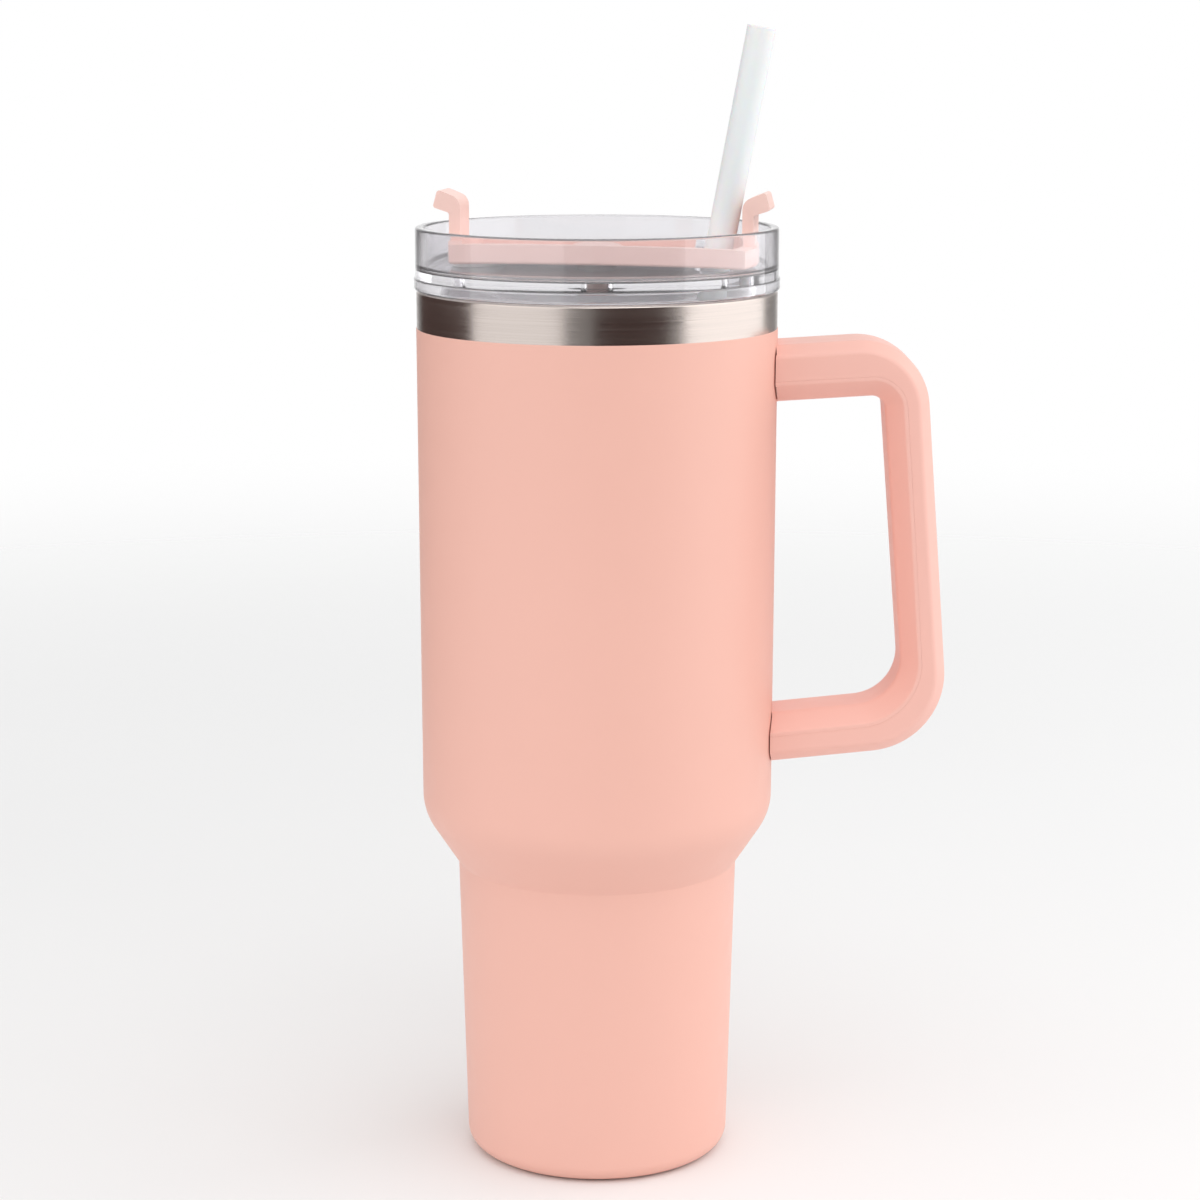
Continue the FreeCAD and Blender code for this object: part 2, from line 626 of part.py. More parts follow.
def make_lid_body():
    """Clear rim, flange, deck and skirt in one moulding, with its openings cut through."""
    body = revolved("lid_body", [
        ("0", DECK_BOTTOM),
        (f"{SKIRT_RADIUS} - skirt_wall", DECK_BOTTOM),
        (f"{SKIRT_RADIUS} - skirt_wall", SKIRT_BOTTOM),
        (SKIRT_RADIUS, SKIRT_BOTTOM),
        (SKIRT_RADIUS, f"{SKIRT_BOTTOM} + gasket_offset"),
        (f"{SKIRT_RADIUS} - gasket_sink", f"{SKIRT_BOTTOM} + gasket_offset"),
        (f"{SKIRT_RADIUS} - gasket_sink", f"{SKIRT_BOTTOM} + gasket_offset + gasket_height"),
        (SKIRT_RADIUS, f"{SKIRT_BOTTOM} + gasket_offset + gasket_height"),
        (SKIRT_RADIUS, FLANGE_BOTTOM),
        (FLANGE_RADIUS, FLANGE_BOTTOM, "flange_round"),
        (FLANGE_RADIUS, f"{FLANGE_BOTTOM} + flange_thick", "flange_round / 3"),
        (RIM_RADIUS, f"{FLANGE_BOTTOM} + flange_thick"),
        (RIM_RADIUS, RIM_HEIGHT, "rim_round"),
        (f"{RIM_RADIUS} - rim_wall", RIM_HEIGHT, "rim_round"),
        (f"{RIM_RADIUS} - rim_wall", DECK_TOP, "deck_fillet"),
        ("0", DECK_TOP),
    ], turned=True)
    holes = new_sketch(body, "deck_holes", "XY_Plane", DECK_BOTTOM)
    circle(holes, "pivot_radius")
    oblong(holes, OPENING_WIDTH, "opening_length", "opening_round", STRAW_OFFSET)
    circle(holes, "vent_radius", "-vent_offset", "vent_offset / 2")
    pocketed(body, "deck_cuts", holes, "deck_thick * 4")
    return body


def make_lid_gasket():
    """The silicone ring in the skirt's groove."""
    low = f"{SKIRT_BOTTOM} + gasket_offset"
    return revolved("lid_gasket", [
        (f"{SKIRT_RADIUS} - gasket_sink", low),
        (SKIRT_RADIUS, low),
        (f"{LINER_MOUTH} - gasket_gap", f"{low} + gasket_height * 0.2"),
        (SKIRT_RADIUS, f"{low} + gasket_height * 0.5"),
        (f"{LINER_MOUTH} - gasket_gap", f"{low} + gasket_height * 0.8"),
        (SKIRT_RADIUS, f"{low} + gasket_height"),
        (f"{SKIRT_RADIUS} - gasket_sink", f"{low} + gasket_height"),
    ], turned=True)


def bar_plan(sketch, radius, half_width):
    """A bar across the lid, with round ends about its own middle."""
    reach, side, shift = value(radius), value(half_width), value("cover_shift")
    angle = math.asin(side / reach)
    end = reach * math.cos(angle)
    round_end = Part.Circle(V(shift, 0, 0), V(0, 0, 1), reach)
    pieces = [
        Part.LineSegment(V(shift - end, -side, 0), V(shift + end, -side, 0)),
        Part.ArcOfCircle(round_end, -angle, angle),
        Part.LineSegment(V(shift + end, side, 0), V(shift - end, side, 0)),
        Part.ArcOfCircle(round_end, math.pi - angle, math.pi + angle),
    ]
    ids = [sketch.addGeometry(piece, False) for piece in pieces]
    for i, geometry in enumerate(ids):
        sketch.addConstraint(Sketcher.Constraint("Coincident", geometry, 2, ids[(i + 1) % 4], 1))
    for arc in (ids[1], ids[3]):
        sketch.addConstraint(Sketcher.Constraint("PointOnObject", arc, 3, -1))
        index = sketch.addConstraint(Sketcher.Constraint("DistanceX", -1, 1, arc, 3, shift))
        sketch.setExpression(f"Constraints[{index}]", bound("cover_shift"))
        index = sketch.addConstraint(Sketcher.Constraint("Radius", arc, reach))
        sketch.setExpression(f"Constraints[{index}]", bound(radius))
    for line, sign in ((ids[0], "-"), (ids[2], "")):
        sketch.addConstraint(Sketcher.Constraint("Horizontal", line))
        expression = f"{sign}({half_width})"
        index = sketch.addConstraint(Sketcher.Constraint("DistanceY", -1, 1, line, 1, value(expression)))
        sketch.setExpression(f"Constraints[{index}]", bound(expression))


def hook_outline(side):
    """One arm and its hook, seen from the front. side is -1 for the left one."""
    tip_top = f"({HOOK_BEND} + hook_rise)"
    corners = [
        (ARM_INSIDE, COVER_BOTTOM),
        (ARM_INSIDE, HOOK_BEND, "hook_round"),
        (f"({HOOK_TIP} - hook_lean)", tip_top, "cover_round"),
        (HOOK_TIP, f"({tip_top} - hook_thick)", "cover_round"),
        (ARM_OUTSIDE, f"({HOOK_BEND} - hook_neck)", "cover_round"),
        (ARM_OUTSIDE, COVER_BOTTOM),
    ]
    return [(f"({side} * {corner[0]} + cover_shift)", *corner[1:]) for corner in corners]


def straw_at(height):
    """The straw's distance from the axis at a height."""
    return f"({STRAW_OFFSET} + ({height} - {DECK_TOP}) * tan(straw_angle * 1 deg))"


def make_cover():
    """The turning cover: a shallow tray with a hooked arm at each end, open behind the straw."""
    body = new_body("lid_cover", turned=True)
    plan = new_sketch(body, "cover_plan", "XY_Plane", COVER_BOTTOM)
    bar_plan(plan, COVER_RADIUS, "cover_width / 2")
    padded(body, "cover_bar", plan, "cover_height")
    dress(body, "Fillet", "cover_edges",
          lambda edge: abs(edge.BoundBox.ZMin - value(COVER_BOTTOM)) < 1e-4 and edge.BoundBox.ZLength < 1e-4,
          ("cover_round",))
    room = new_sketch(body, "cover_room", "XY_Plane", f"{COVER_FLOOR_TOP} + cover_height")
    bar_plan(room, ARM_INSIDE, "cover_width / 2 - cover_wall")
    pocketed(body, "cover_tray", room, "cover_height * 2")
    for name, side in (("right", 1), ("left", -1)):
        arm = new_sketch(body, name + "_arm_outline")
        outline(arm, hook_outline(side))
        padded(body, name + "_arm", arm, "arm_width", symmetric=True)
    centre_hole = new_sketch(body, "cover_hole", "XY_Plane", COVER_BOTTOM)
    circle(centre_hole, "pivot_radius + pivot_gap")
    pocketed(body, "cover_pivot_hole", centre_hole, "cover_height * 2")
    cut_straw_way(body)
    return body


def cut_straw_way(body):
    """The way that the straw leaves the cover by: a leaning hole, and a slot from it to the back."""
    hole_radius = "(straw_radius + straw_clearance)"
    half = f"{hole_radius} / cos(straw_angle * 1 deg)"
    low, high = f"({COVER_BOTTOM} - 1)", f"({HOOK_BEND} + hook_rise * 2)"
    section = new_sketch(body, "straw_way_section")
    outline(section, [
        (f"{straw_at(low)} - {half}", low),
        (f"{straw_at(low)} + {half}", low),
        (f"{straw_at(high)} + {half}", high),
        (f"{straw_at(high)} - {half}", high),
    ])
    doc.recompute()
    whole = body.Shape
    feature(body, "Groove", "straw_way", section, ReferenceAxis=(section, ["V_Axis"]), Angle=60)
    doc.recompute()
    removed = whole.cut(body.Shape)
    if removed.Volume < 1 or removed.BoundBox.Center.y < 0:
        raise RuntimeError("the straw's way is not cut towards the back")
    hole = body.newObject("PartDesign::SubtractiveCylinder", "straw_hole")
    hole.AttachmentOffset = FreeCAD.Placement(V(), FreeCAD.Rotation(V(0, 1, 0), value("straw_angle")))
    hole.AttachmentSupport = [(origin_plane(body, "XY_Plane"), "")]
    hole.MapMode = "FlatFace"
    hole.setExpression("AttachmentOffset.Rotation.Angle", bound("straw_angle * 1 deg"))
    hole.setExpression("AttachmentOffset.Base.x", bound(straw_at(low)))
    hole.setExpression("AttachmentOffset.Base.z", bound(low))
    hole.setExpression("Radius", bound(hole_radius))
    hole.setExpression("Height", bound(f"({high} - {low}) / cos(straw_angle * 1 deg)"))


def make_pivot():
    """The pin that the cover turns on, with its broad head over the cover's floor."""
    head_bottom = f"({COVER_FLOOR_TOP} + head_gap)"
    return revolved("cover_pivot", [
        ("0", f"{DECK_BOTTOM} - pivot_tail"),
        ("pivot_radius", f"{DECK_BOTTOM} - pivot_tail"),
        ("pivot_radius", head_bottom),
        ("pivot_radius + pivot_shoulder", head_bottom),
        ("pivot_radius + pivot_shoulder", f"{head_bottom} + pivot_head", "pivot_head / 2"),
        ("0", f"{head_bottom} + pivot_head"),
    ], turned=True)


def collar(label, wall, low, high):
    """A flat ring round the pivot."""
    outside = f"pivot_radius + {wall}"
    return revolved(label, [("pivot_radius", low), (outside, low), (outside, high), ("pivot_radius", high)],
                    turned=True)


def make_pad():
    """The silicone pad under the cover's closed end."""
    body = new_body("cover_pad", turned=True)
    plan = new_sketch(body, "pad_plan", "XY_Plane", f"{DECK_TOP} + seal_gap")
    width, length = (f"({size} + 2 * pad_margin)" for size in (OPENING_WIDTH, "opening_length"))
    oblong(plan, width, length, "pad_round", f"-{STRAW_OFFSET}")
    padded(body, "pad_block", plan, "cover_lift - seal_gap")
    return body


# ---------------------------------------------------------------- the straw

def make_straw():
    """A plain tube that leans outwards through the lid, with its foot just over the floor."""
    body = new_body("straw")
    ring = new_sketch(body, "straw_ring", "XY_Plane")
    circle(ring, "straw_radius")
    circle(ring, "straw_radius - straw_wall")
    padded(body, "straw_tube", ring, "straw_length")
    lean = FreeCAD.Rotation(V(0, 1, 0), value("straw_angle"))
    turn = FreeCAD.Rotation(V(0, 0, 1), value("cover_angle"))
    foot = "(liner_floor + straw_floor_gap + straw_radius * sin(straw_angle * 1 deg))"
    body.Placement = FreeCAD.Placement(V(), turn * lean)
    out = straw_at(foot)
    body.setExpression("Placement.Base.x", bound(f"{out} * cos(cover_angle * 1 deg)"))
    body.setExpression("Placement.Base.y", bound(f"{out} * sin(cover_angle * 1 deg)"))
    body.setExpression("Placement.Base.z", bound(foot))
    return body


def write_parts(labels):
    """Checks every object and every piece, then writes one file for each piece."""
    doc.recompute()
    for thing in doc.Objects:
        if "Invalid" in thing.State or "Error" in thing.State:
            raise RuntimeError(f"{thing.Name} is {thing.State}")
    pieces = [doc.getObjectsByLabel(label)[0] for label in labels]
    for piece in pieces:
        if piece.Shape.isNull() or not piece.Shape.isValid() or len(piece.Shape.Solids) != 1:
            raise RuntimeError(f"{piece.Label}: {len(piece.Shape.Solids)} solids")
    os.makedirs("parts", exist_ok=True)
    for piece in pieces:
        piece.Shape.exportStep(f"parts/{piece.Label}.step")
        print(f"{piece.Label}: {piece.Shape.Volume / 1000:.2f} cm3")


make_outer_shell()
make_inner_liner()
make_bottom_plate()
make_seal_bead()
make_base_disc()
make_getter()
make_handle()
make_brackets()
make_screws()
make_lid_body()
make_lid_gasket()
make_cover()
make_pivot()
collar("pivot_retainer", "retainer_wall", f"{DECK_BOTTOM} - retainer_thick", DECK_BOTTOM)
collar("pivot_ring", "ring_wall", DECK_TOP, f"{COVER_BOTTOM} - seal_gap")
make_pad()
make_straw()
write_parts([
    "outer_shell", "inner_liner", "bottom_plate", "vacuum_seal", "base_disc", "getter",
    "handle_shell", "handle_inner_cover", "upper_handle_bracket", "lower_handle_bracket",
    "upper_handle_screw", "lower_handle_screw", "lid_body", "lid_gasket", "lid_cover",
    "cover_pivot", "pivot_retainer", "pivot_ring", "cover_pad", "straw",
])
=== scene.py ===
"""Looks of a large insulated tumbler: coated steel cup, handle, clear lid, turning cover and straw.

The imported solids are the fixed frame. Each piece made here stands in that frame, in metres, and rides
on the body that it belongs to. Lengths are written in millimetres and scaled by MM.
"""

import json
import math

import bmesh
import bpy
from mathutils import Matrix, Vector


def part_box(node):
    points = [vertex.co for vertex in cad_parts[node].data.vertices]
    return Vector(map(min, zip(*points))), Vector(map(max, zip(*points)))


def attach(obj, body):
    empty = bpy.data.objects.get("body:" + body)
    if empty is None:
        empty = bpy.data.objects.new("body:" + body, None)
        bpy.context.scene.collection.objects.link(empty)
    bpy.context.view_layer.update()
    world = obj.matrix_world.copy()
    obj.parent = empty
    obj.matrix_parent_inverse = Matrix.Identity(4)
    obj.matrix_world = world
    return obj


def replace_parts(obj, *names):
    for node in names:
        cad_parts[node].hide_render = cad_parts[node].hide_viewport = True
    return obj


MM = 0.001

# The cup's outer wall, as (radius, height) where its straight runs would meet.
BASE_RADIUS = 36.9
FOOT_RADIUS = 29.0
WAIST_RADIUS, WAIST_HEIGHT = 39.15, 84.0
SHOULDER_RADIUS, SHOULDER_SLOPE = 49.0, math.radians(33.5)
SHOULDER_HEIGHT = WAIST_HEIGHT + (SHOULDER_RADIUS - WAIST_RADIUS) / math.tan(SHOULDER_SLOPE)
MOUTH_RADIUS, MOUTH_HEIGHT = 49.5, 244.6
COAT_HEIGHT = 234.3
BASE_ROUND, SHOULDER_ROUND = 5.1, 16.0
COAT_STEP = 0.15
SHEET_MITRE = 1 / 3
STEEL_WALL = 0.5
LIP_ROUND = 0.9
LINER_MOUTH = 45.65

# The clear lid. Its heights count from the top of the steel lip.
RIM_RADIUS, RIM_WALL, RIM_RISE = 49.6, 2.5, 17.1
FLANGE_RADIUS, FLANGE_THICK, SEAT_GAP = 50.0, 3.3, 0.1
DECK_RISE, DECK_THICK = 5.4, 2.5
SKIRT_GAP, SKIRT_WALL, SKIRT_DROP = 0.5, 2.6, 11.0
GASKET_SINK, GASKET_OFFSET, GASKET_HEIGHT = 1.3, 4.0, 4.0
PIVOT_RADIUS = 3.0
OPENING_SIZE = (9.6, 21.0)
OPENING_ROUND = 4.0
OPENING_OFFSET = 32.5
VENT_PLACE, VENT_RADIUS = (-24.0, 12.0), 0.9
LID_TURN = math.radians(-9.5)

# The handle, where its faces would meet in sharp corners. Both arms slope up from the cup.
HANDLE_TOP, TOP_RISE = 230.2, 2.4
HANDLE_FOOT, FOOT_RISE = 113.9, 4.9
TOP_REACH, LOW_REACH = 89.3, 98.0
TOP_ARM, LOW_ARM = 15.7, 13.6
GRIP_TOP, GRIP_LOW = 11.0, 12.9
OUTER_ROUNDS, FINGER_ROUNDS = (19.0, 21.8), (3.5, 13.0)
HANDLE_DEPTH, HANDLE_GAP = 24.0, 0.4
OUTER_BEVEL, INNER_BEVEL = (3.0, 3.5), (4.9, 5.0)
STRIP_THICK, SEAM = 5.9, 0.02
BEND_STEPS, EDGE_STEPS = 20, 5
OUTER_EDGE, SEAM_EDGE, STRIP_EDGE, FINGER_EDGE = 2.0, 0.06, 0.9, 2.6
ARM_BURIED = 2.0

STRAW_RADIUS, STRAW_WALL, STRAW_LIP = 3.9, 0.6, 0.25

# The dark cards that reflections see, in metres.
CARD_DISTANCE, CARD_HEIGHT = 0.42, 0.25

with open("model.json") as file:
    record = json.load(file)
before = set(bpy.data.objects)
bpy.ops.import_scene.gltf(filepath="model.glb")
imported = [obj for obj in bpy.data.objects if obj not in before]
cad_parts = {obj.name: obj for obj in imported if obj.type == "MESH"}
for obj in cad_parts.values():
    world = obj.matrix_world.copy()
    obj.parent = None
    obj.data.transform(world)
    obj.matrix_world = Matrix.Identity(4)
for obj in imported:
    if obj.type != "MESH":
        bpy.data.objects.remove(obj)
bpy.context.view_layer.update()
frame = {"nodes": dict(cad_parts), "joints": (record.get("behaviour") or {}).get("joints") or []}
nodes = frame["nodes"]


# ---------------------------------------------------------------- shapes

def arcs(corners, steps=10):
    """The closed outline through (radius, height) corners; a third number rounds its corner."""
    line = []
    for index, corner in enumerate(corners):
        here = Vector(corner[:2])
        if len(corner) == 2:
            line.append(here)
            continue
        back = (Vector(corners[index - 1][:2]) - here).normalized()
        onward = (Vector(corners[(index + 1) % len(corners)][:2]) - here).normalized()
        half = back.angle(onward) / 2
        centre = here + (back + onward).normalized() * (corner[2] / math.sin(half))
        start = here + back * (corner[2] / math.tan(half)) - centre
        sweep = math.pi - 2 * half
        side = 1 if back.cross(onward) < 0 else -1
        for step in range(steps + 1):
            turn = Matrix.Rotation(side * sweep * step / steps, 2)
            line.append(centre + turn @ start)
    return line


def shaded(piece, angle=35):
    """Smooth shading with sharp edges where faces meet at more than this angle."""
    piece.data.shade_smooth()
    piece.data.set_sharp_from_angle(angle=math.radians(angle))
    return piece


def lathe(name, corners, turns=240, place=None):
    """A solid of revolution about Z from a closed outline in millimetres."""
    shape = bmesh.new()
    rings = []
    for radius, height in arcs(corners):
        ring = []
        for step in range(turns):
            angle = 2 * math.pi * step / turns
            spot = Vector((radius * math.cos(angle), radius * math.sin(angle), height))
            ring.append(shape.verts.new(spot * MM))
        rings.append(ring)
    for index, ring in enumerate(rings):
        after = rings[(index + 1) % len(rings)]
        for step in range(turns):
            onward = (step + 1) % turns
            shape.faces.new((ring[step], ring[onward], after[onward], after[step]))
    bmesh.ops.recalc_face_normals(shape, faces=shape.faces)
    mesh = bpy.data.meshes.new(name)
    shape.to_mesh(mesh)
    shape.free()
    if place is not None:
        mesh.transform(place)
    piece = bpy.data.objects.new(name, mesh)
    bpy.context.scene.collection.objects.link(piece)
    return shaded(piece)


def rod(name, radius, low, high, place=(0, 0)):
    """A plain cylinder for cutting a round hole."""
    bpy.ops.mesh.primitive_cylinder_add(
        vertices=48, radius=radius * MM, depth=(high - low) * MM,
        location=(place[0] * MM, place[1] * MM, (low + high) / 2 * MM))
    bpy.context.object.name = name
    return bpy.context.object


def slab(name, size, round_, place, low, high):
    """An upright block with rounded corners for cutting a slot."""
    bpy.ops.mesh.primitive_cube_add(size=1, location=(place[0] * MM, place[1] * MM, (low + high) / 2 * MM))
    block = bpy.context.object
    block.name = name
    block.scale = (size[0] * MM, size[1] * MM, (high - low) * MM)
    bpy.ops.object.transform_apply(location=False, rotation=False, scale=True)
    shape = bmesh.new()
    shape.from_mesh(block.data)
    upright = [e for e in shape.edges if abs(e.verts[0].co.z - e.verts[1].co.z) > MM]
    bmesh.ops.bevel(shape, geom=upright, offset=round_ * MM, segments=8, affect="EDGES", profile=0.5)
    shape.to_mesh(block.data)
    shape.free()
    return block


def cut_out(piece, cutters):
    """Takes the cutters out of the piece, then removes them."""
    for cutter in cutters:
        cutting = piece.modifiers.new("cut", "BOOLEAN")
        cutting.operation = "DIFFERENCE"
        cutting.solver = "EXACT"
        cutting.object = cutter
    graph = bpy.context.evaluated_depsgraph_get()
    mesh = bpy.data.meshes.new_from_object(piece.evaluated_get(graph))
    piece.modifiers.clear()
    piece.data = mesh
    for cutter in cutters:
        bpy.data.objects.remove(cutter)
    return shaded(piece)


def soften(piece, width):
    """Rounds the edges that light catches on a moulded piece."""
    weld = piece.modifiers.new("weld", "WELD")
    weld.merge_threshold = 0.01 * MM
    bevel = piece.modifiers.new("edges", "BEVEL")
    bevel.width = width * MM
    bevel.segments = 3
    bevel.limit_method = "ANGLE"
    bevel.angle_limit = math.radians(28)
    bevel.use_clamp_overlap = True
    normals = piece.modifiers.new("normals", "WEIGHTED_NORMAL")
    normals.weight = 80
    normals.keep_sharp = False


# ---------------------------------------------------------------- materials

def linear(red, green, blue):
    """A colour as the eye names it, 0 to 255, as light."""
    def channel(level):
        level = level / 255
        return level / 12.92 if level <= 0.04045 else ((level + 0.055) / 1.055) ** 2.4
    return (channel(red), channel(green), channel(blue), 1.0)


class Finish:
    """A Principled material that is built up from noise measured in the piece's own millimetres."""

    def __init__(self, name, colour, roughness, **constants):
        self.material = bpy.data.materials.new(name)
        self.material.use_nodes = True
        self.tree = self.material.node_tree
        self.shader = self.tree.nodes["Principled BSDF"]
        self.colour = colour
        self.roughness = roughness
        self.shader.inputs["Base Color"].default_value = colour
        self.shader.inputs["Roughness"].default_value = roughness
        for socket, level in constants.items():
            self.shader.inputs[socket.replace("_", " ")].default_value = level
        self.height = None

    def noise(self, spacing):
        """Noise whose features are about spacing millimetres across, along X, Y and Z."""
        place = self.tree.nodes.new("ShaderNodeTexCoord")
        scale = self.tree.nodes.new("ShaderNodeMapping")
        scale.inputs["Scale"].default_value = [1 / (step * MM) for step in spacing]
        noise = self.tree.nodes.new("ShaderNodeTexNoise")
        noise.inputs["Scale"].default_value = 1.0
        noise.inputs["Detail"].default_value = 2.0
        self.tree.links.new(place.outputs["Object"], scale.inputs["Vector"])
        self.tree.links.new(scale.outputs["Vector"], noise.inputs["Vector"])
        return noise.outputs["Fac"]

    def tint(self, spacing, darker):
        """The colour varies between itself and a slightly darker one."""
        mix = self.tree.nodes.new("ShaderNodeMix")
        mix.data_type = "RGBA"
        mix.inputs["A"].default_value = [level * darker for level in self.colour[:3]] + [1.0]
        mix.inputs["B"].default_value = self.colour
        self.tree.links.new(self.noise(spacing), mix.inputs["Factor"])
        self.tree.links.new(mix.outputs["Result"], self.shader.inputs["Base Color"])
        return self

    def wear(self, spacing, spread):
        """The roughness varies by spread on each side of its own value."""
        level = self.tree.nodes.new("ShaderNodeMapRange")
        level.inputs["From Min"].default_value = 0.25
        level.inputs["From Max"].default_value = 0.75
        level.inputs["To Min"].default_value = self.roughness - spread
        level.inputs["To Max"].default_value = self.roughness + spread
        self.tree.links.new(self.noise(spacing), level.inputs["Value"])
        self.tree.links.new(level.outputs["Result"], self.shader.inputs["Roughness"])
        return self

    def bump(self, spacing, height):
        """Relief of about height millimetres. A second call lays a finer relief over the first."""
        relief = self.tree.nodes.new("ShaderNodeBump")
        relief.inputs["Strength"].default_value = 1.0
        relief.inputs["Distance"].default_value = height * MM
        self.tree.links.new(self.noise(spacing), relief.inputs["Height"])
        if self.height is not None:
            self.tree.links.new(self.height, relief.inputs["Normal"])
        self.height = relief.outputs["Normal"]
        self.tree.links.new(self.height, self.shader.inputs["Normal"])
        return self


def every_way(step):
    """The same spacing along X, Y and Z."""
    return (step, step, step)


def coat_finish():
    """Powder coat: a fine pebbled satin paint."""
    coat = Finish("powder_coat", linear(241, 187, 172), 0.46, Specular_IOR_Level=0.42)
    return coat.tint(every_way(45), 0.975).wear(every_way(6), 0.05).bump(
        every_way(1.6), 0.02).bump(every_way(0.42), 0.012)


def steel_finish(name, roughness, colour):
    """Steel brushed round the cup, in fine level lines."""
    steel = Finish(name, colour, roughness, Metallic=1.0, Anisotropic=0.45)
    return steel.tint((60, 60, 0.25), 0.9).wear((90, 90, 0.16), 0.07).bump((60, 60, 0.09), 0.006)


def pressed_steel_finish():
    """Plain pressed steel under the cup."""
    steel = Finish("pressed_steel", linear(190, 186, 182), 0.38, Metallic=1.0)
    return steel.tint(every_way(9), 0.92).wear(every_way(3), 0.08).bump(every_way(0.5), 0.006)


def moulded_finish(name, colour, roughness, grain):
    """Moulded plastic with a fine spark-eroded grain."""
    plastic = Finish(name, colour, roughness, Specular_IOR_Level=0.45)
    return plastic.tint(every_way(30), 0.975).wear(every_way(5), 0.05).bump(every_way(grain), 0.012)


def clear_finish():
    """Clear plastic, slightly grey and hazy, with the faint waviness of a moulding."""
    clear = Finish("clear_plastic", (0.845, 0.835, 0.86, 1.0), 0.05, Transmission_Weight=0.95, IOR=1.5)
    return clear.tint(every_way(35), 0.985).wear(every_way(12), 0.02).bump((14, 14, 9), 0.02)


def silicone_finish(name, colour):
    """Soft silicone with a matt skin."""
    rubber = Finish(name, colour, 0.55, Sheen_Weight=0.15, Subsurface_Weight=0.1, Subsurface_Scale=0.002)
    return rubber.tint(every_way(8), 0.95).wear(every_way(3), 0.06).bump(every_way(0.5), 0.015)


def straw_finish():
    """Milky drawn plastic, with faint lines along its length."""
    milky = Finish("milky_plastic", linear(240, 240, 241), 0.5, Subsurface_Weight=0.25,
                   Subsurface_Scale=0.002)
    return milky.tint((4, 4, 60), 0.98).wear((2, 2, 40), 0.05).bump((0.7, 0.7, 30), 0.006)


coat = coat_finish()
band_steel = steel_finish("brushed_band", 0.2, (0.66, 0.585, 0.545, 1.0))
liner_steel = steel_finish("brushed_liner", 0.36, (0.80, 0.77, 0.75, 1.0))
plate_steel = pressed_steel_finish()
handle_plastic = moulded_finish("handle_plastic", linear(245, 191, 178), 0.42, 0.5)
cover_plastic = moulded_finish("cover_plastic", linear(250, 212, 202), 0.36, 0.6)
clear = clear_finish()
gasket_silicone = silicone_finish("gasket_silicone", linear(226, 224, 222))
straw_plastic = straw_finish()
solder = Finish("tin_solder", linear(196, 194, 190), 0.3, Metallic=1.0).bump(every_way(1.2), 0.05)
getter_metal = Finish("getter_powder", linear(92, 90, 88), 0.7, Metallic=0.6).bump(every_way(0.4), 0.03)
bolt_steel = Finish("bolt_steel", linear(176, 174, 172), 0.3, Metallic=1.0).wear(every_way(1), 0.08)


def dress(piece, finish):
    """Gives a piece its material."""
    piece.data.materials.clear()
    piece.data.materials.append(finish.material)
    return piece


# ---------------------------------------------------------------- the cup

def make_coated_wall():
    """The painted part of the outer wall, a real sheet from the bare band down to the folded foot."""
    sheet = COAT_STEP + STEEL_WALL
    wall = lathe("coated_wall", [
        (MOUTH_RADIUS - COAT_STEP, COAT_HEIGHT),
        (MOUTH_RADIUS, COAT_HEIGHT, COAT_STEP * 0.9),
        (SHOULDER_RADIUS, SHOULDER_HEIGHT, SHOULDER_ROUND),
        (WAIST_RADIUS, WAIST_HEIGHT, 0.8),
        (BASE_RADIUS, 0, BASE_ROUND),
        (FOOT_RADIUS, 0),
        (FOOT_RADIUS, sheet),
        (BASE_RADIUS - sheet, sheet, BASE_ROUND - sheet),
        (WAIST_RADIUS - sheet, WAIST_HEIGHT + sheet * SHEET_MITRE),
        (SHOULDER_RADIUS - sheet, SHOULDER_HEIGHT + sheet * SHEET_MITRE, SHOULDER_ROUND - sheet),
        (MOUTH_RADIUS - sheet, COAT_HEIGHT),
    ])
    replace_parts(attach(dress(wall, coat), "cup"), "outer_shell")


def make_bare_band():
    """The bare steel between the coat and the lid, rolled over at the lip."""
    outside = MOUTH_RADIUS - COAT_STEP
    inside = LINER_MOUTH + STEEL_WALL
    band = lathe("bare_steel_band", [
        (outside, COAT_HEIGHT),
        (outside, MOUTH_HEIGHT, LIP_ROUND),
        (inside, MOUTH_HEIGHT),
        (inside, MOUTH_HEIGHT - STEEL_WALL),
        (outside - STEEL_WALL, MOUTH_HEIGHT - STEEL_WALL, LIP_ROUND - STEEL_WALL),
        (outside - STEEL_WALL, COAT_HEIGHT),
    ])
    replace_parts(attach(dress(band, band_steel), "cup"), "outer_shell")


make_coated_wall()
make_bare_band()
dress(nodes["inner_liner"], liner_steel)
for node in ("bottom_plate", "upper_handle_bracket", "lower_handle_bracket"):
    dress(nodes[node], plate_steel)
for node in ("upper_handle_screw", "lower_handle_screw"):
    dress(nodes[node], bolt_steel)
dress(nodes["vacuum_seal"], solder)
dress(nodes["getter"], getter_metal)
dress(nodes["base_disc"], plate_steel)


# ---------------------------------------------------------------- the handle

def arm_height(height, rise, reach, x):
    """The height of an arm's face at x. It rises from the cup's wall to its corner."""
    return height + rise * (x - MOUTH_RADIUS) / (reach - MOUTH_RADIUS)


def handle_line(corners, rounds, steps):
    """Points along an open line of four corners in the handle's plane, with its two bends rounded."""
    start, first, second, end = (Vector(corner) for corner in corners)
    ring = arcs([tuple(start), (*first, rounds[0]), (*second, rounds[1]), tuple(end)], steps)
    line = [ring[0].lerp(ring[1], step / steps) for step in range(steps)]
    line += ring[1:steps + 2]
    bend, onward = ring[steps + 1], ring[steps + 2]
    line += [bend.lerp(onward, step / steps) for step in range(1, steps)]
    line += ring[steps + 2:-1]
    line += [ring[-2].lerp(ring[-1], step / steps) for step in range(1, steps + 1)]
    return line


